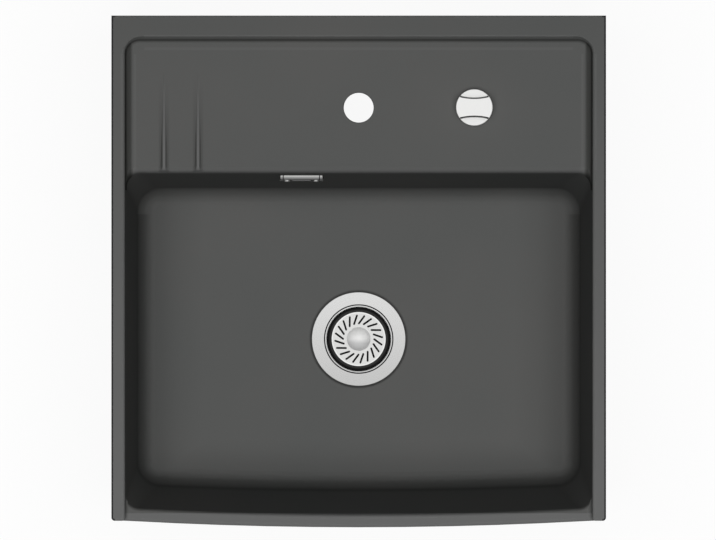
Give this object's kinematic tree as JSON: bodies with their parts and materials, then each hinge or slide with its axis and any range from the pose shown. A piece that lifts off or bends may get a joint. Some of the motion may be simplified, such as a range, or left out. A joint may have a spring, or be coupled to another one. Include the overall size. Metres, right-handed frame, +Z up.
{
  "type": "kitchen sink module with draining ledge",
  "caption": "Ceramic sink module with a deep bowl, bowed apron, ribbed draining ledge behind it, tap hole, overflow, pop-up strainer waste and its rotary knob.",
  "frame": {"origin": "centre of the basin's footprint, on the plane where its foot rests on the cabinet", "axes": "+X to the user's right, +Y from the apron to the wall, +Z up"},
  "size_m": [0.595, 0.616, 0.3249],
  "materials": {
    "ceramic": "matt to satin graphite glaze",
    "brushed_steel": "fine brushed stainless steel",
    "knob_steel": "finely brushed",
    "polished_steel": "polished",
    "chrome": "polished",
    "steel": "plain stainless steel",
    "brass": "turned",
    "rubber": "matt black",
    "black_plastic": "moulded",
    "grey_plastic": "moulded",
    "white_plastic": "moulded",
    "sheath_plastic": "extruded",
    "hose_plastic": "corrugated, light grey"
  },
  "bodies": {
    "basin": {"sink_basin": "ceramic", "drain_flange": "brushed_steel", "flange_gasket": "rubber", "waste_body": "black_plastic", "pin_guide": "white_plastic", "cable_bracket": "black_plastic", "body_gasket": "rubber", "waste_screws": "steel", "port_seal": "rubber", "port_cap": "grey_plastic", "ferrule_waste": "steel", "cable_sheath": "sheath_plastic", "ferrule_drive": "steel", "drive_housing": "black_plastic", "drive_lid": "black_plastic", "drive_screws": "steel", "knob_rosette": "chrome", "knob_sleeve": "brass", "knob_gasket": "rubber", "knob_washer": "grey_plastic", "knob_nut": "brass", "overflow_trim": "chrome", "overflow_screws": "steel", "trim_gasket": "rubber", "overflow_elbow": "black_plastic", "elbow_gasket": "rubber", "overflow_hose": "hose_plastic", "hose_nuts": "grey_plastic"},
    "knob": {"knob_cap": "knob_steel", "knob_spindle": "brass", "drive_pinion": "white_plastic"},
    "rack": {"drive_rack": "white_plastic", "cable_end_drive": "steel"},
    "wire": {"cable_end_waste": "steel"},
    "lever": {"waste_lever": "steel"},
    "pin": {"lift_pin": "steel"},
    "strainer": {"strainer_disc": "brushed_steel", "strainer_cap": "polished_steel", "strainer_guard": "rubber", "strainer_basket": "brushed_steel", "strainer_stem": "steel", "strainer_plug": "rubber", "plug_nut": "steel"}
  },
  "joints": [
    {"name": "knob_turn", "type": "hinge", "parent": "basin", "child": "knob", "pos_m": [0.139, 0.1975, 0.2106], "axis": [0, 0, 1], "range_deg": [0, 90]},
    {"name": "rack_slide", "type": "slide", "parent": "basin", "child": "rack", "axis": [1, 0, 0], "range_m": [0, 0.01257]},
    {"name": "cable_pull", "type": "slide", "parent": "basin", "child": "wire", "axis": [0, 0.6727, -0.7399], "range_m": [0, 0.01257]},
    {"name": "lever_rock", "type": "hinge", "parent": "basin", "child": "lever", "pos_m": [0, -0.0535, -0.048], "axis": [-1, 0, 0], "range_deg": [0, 24.4]},
    {"name": "pin_lift", "type": "slide", "parent": "basin", "child": "pin", "axis": [0, 0, 1], "range_m": [0, 0.01226]},
    {"name": "strainer_lift", "type": "slide", "parent": "pin", "child": "strainer", "axis": [0, 0, 1], "range_m": [0, 0.255]}
  ],
  "couplings": [
    {"joint": "rack_slide", "follows": "knob_turn", "m_per_rad": 0.008},
    {"joint": "cable_pull", "follows": "knob_turn", "m_per_rad": 0.008},
    {"joint": "lever_rock", "follows": "knob_turn", "ratio": 0.27111},
    {"joint": "pin_lift", "follows": "knob_turn", "m_per_rad": 0.007803}
  ]
}
